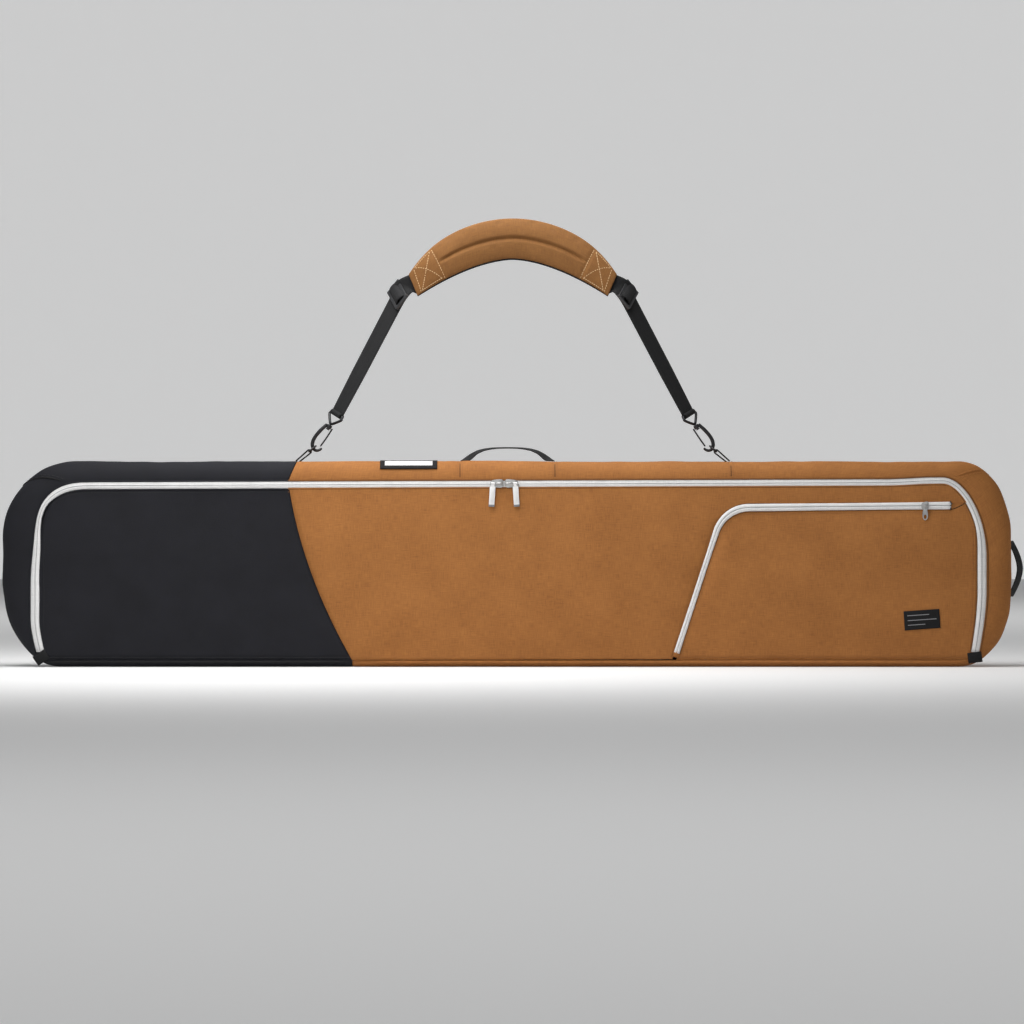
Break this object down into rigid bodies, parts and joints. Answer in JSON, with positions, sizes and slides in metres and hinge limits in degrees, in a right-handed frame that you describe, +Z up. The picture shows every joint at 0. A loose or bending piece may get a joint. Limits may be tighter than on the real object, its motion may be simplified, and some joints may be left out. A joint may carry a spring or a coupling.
{
  "type": "snowboard bag",
  "caption": "Long padded two-tone snowboard bag on its edge, with a zipped front flap, slanted pocket zip, webbing handles and a clip-on padded shoulder strap.",
  "frame": {"origin": "on the floor under the middle of the base, half-way through the bag from front to back", "axes": "+X along the length towards the tan end, -Y out of the zipped front, +Z up towards the shoulder strap"},
  "size_m": [1.769, 0.1468, 0.7806],
  "materials": {
    "black_fabric": "fine woven polyester, matt",
    "tan_fabric": "fine woven polyester, matt",
    "zip_tape": "woven zip tape",
    "pull_grey": "moulded over cord, matt",
    "zip_metal": "grey zinc, satin",
    "hook_metal": "black, satin",
    "webbing": "woven webbing",
    "black_plastic": "moulded, fine grain",
    "foam": "closed-cell foam",
    "lining": "smooth woven lining",
    "clear_vinyl": "clear film",
    "card": "plain card"
  },
  "bodies": {
    "bag": {"back_foam": "foam", "back_lining": "lining", "back_panel_black": "black_fabric", "back_panel_tan": "tan_fabric", "base_panel_black": "black_fabric", "base_panel_tan": "tan_fabric", "end_gusset_left": "black_fabric", "end_gusset_right": "tan_fabric", "gusset_foam": "foam", "gusset_lining": "lining", "handle_panel": "tan_fabric", "top_gusset_black": "black_fabric", "top_gusset_left": "tan_fabric", "top_gusset_middle": "tan_fabric", "top_gusset_right": "tan_fabric", "main_zip_tape_shell": "zip_tape", "zip_end_tab_left": "webbing", "zip_end_tab_right": "webbing", "id_card": "card", "id_window": "clear_vinyl", "id_window_frame": "webbing", "carry_handle": "webbing", "end_handle": "webbing", "anchor_tab_left": "webbing", "anchor_tab_right": "webbing", "ring_left": "hook_metal", "ring_right": "hook_metal"},
    "flap": {"front_panel_black": "black_fabric", "front_panel_tan": "tan_fabric", "pocket_panel": "tan_fabric", "pocket_lining": "lining", "flap_foam": "foam", "flap_lining": "lining", "main_zip_tape_flap": "zip_tape", "pocket_zip_tape_upper": "zip_tape", "pocket_zip_tape_lower": "zip_tape", "label_patch": "webbing"},
    "strap": {"pad_cover": "tan_fabric", "pad_backing": "webbing", "webbing_left": "webbing", "webbing_right": "webbing", "swivel_eye_left": "hook_metal", "swivel_eye_right": "hook_metal"},
    "main_slider_left": {"main_slider_left": "zip_metal"},
    "main_slider_right": {"main_slider_right": "zip_metal"},
    "main_pull_left": {"main_pull_left": "pull_grey"},
    "main_pull_right": {"main_pull_right": "pull_grey"},
    "pocket_slider": {"pocket_slider": "zip_metal"},
    "pocket_pull": {"pocket_pull": "zip_metal"},
    "adjuster_left": {"adjuster_left": "black_plastic"},
    "adjuster_right": {"adjuster_right": "black_plastic"},
    "hook_left": {"hook_left": "hook_metal"},
    "hook_right": {"hook_right": "hook_metal"},
    "gate_left": {"gate_left": "hook_metal"},
    "gate_right": {"gate_right": "hook_metal"}
  },
  "joints": [
    {"name": "flap_open", "type": "hinge", "parent": "bag", "child": "flap", "pos_m": [0, -0.07, 0.01215], "axis": [1, 0, 0], "range_deg": [0, 85]},
    {"name": "main_slider_left_travel", "type": "slide", "parent": "flap", "child": "main_slider_left", "axis": [-1, 0, -0.0045], "range_m": [0, 0.64]},
    {"name": "main_slider_right_travel", "type": "slide", "parent": "flap", "child": "main_slider_right", "axis": [1, 0, 0.0045], "range_m": [0, 0.64]},
    {"name": "pocket_slider_travel", "type": "slide", "parent": "flap", "child": "pocket_slider", "axis": [-0.9999, 0, -0.0102], "range_m": [0, 0.29]},
    {"name": "main_pull_left_swing", "type": "hinge", "parent": "main_slider_left", "child": "main_pull_left", "pos_m": [-0.02, -0.0748, 0.31881], "axis": [-1, 0, -0.0045], "range_deg": [0, 150]},
    {"name": "main_pull_right_swing", "type": "hinge", "parent": "main_slider_right", "child": "main_pull_right", "pos_m": [0.01, -0.0748, 0.31894], "axis": [-1, 0, -0.0045], "range_deg": [0, 150]},
    {"name": "pocket_pull_swing", "type": "hinge", "parent": "pocket_slider", "child": "pocket_pull", "pos_m": [0.7235, -0.0748, 0.27904], "axis": [-0.9999, 0, -0.0102], "range_deg": [0, 150]},
    {"name": "strap_swing", "type": "hinge", "parent": "bag", "child": "strap", "pos_m": [0.01, 0, 0.37783], "axis": [1, 0, 0], "range_deg": [-35, 35]},
    {"name": "adjuster_left_travel", "type": "slide", "parent": "strap", "child": "adjuster_left", "axis": [-0.4641, 0, -0.8858], "range_m": [0, 0.1]},
    {"name": "hook_left_swivel", "type": "hinge", "parent": "strap", "child": "hook_left", "pos_m": [-0.31214, 0, 0.41386], "axis": [-0.5349, 0, -0.8449], "range_deg": [-12, 12]},
    {"name": "gate_left_snap", "type": "hinge", "parent": "hook_left", "child": "gate_left", "pos_m": [-0.30583, 0, 0.41111], "axis": [0, 1, 0], "range_deg": [0, 18], "stiffness_Nm_per_rad": 0.12},
    {"name": "adjuster_right_travel", "type": "slide", "parent": "strap", "child": "adjuster_right", "axis": [0.4641, 0, -0.8858], "range_m": [0, 0.1]},
    {"name": "hook_right_swivel", "type": "hinge", "parent": "strap", "child": "hook_right", "pos_m": [0.33214, 0, 0.41386], "axis": [0.5349, 0, -0.8449], "range_deg": [-12, 12]},
    {"name": "gate_right_snap", "type": "hinge", "parent": "hook_right", "child": "gate_right", "pos_m": [0.32583, 0, 0.41111], "axis": [0, -1, 0], "range_deg": [0, 18], "stiffness_Nm_per_rad": 0.12}
  ]
}
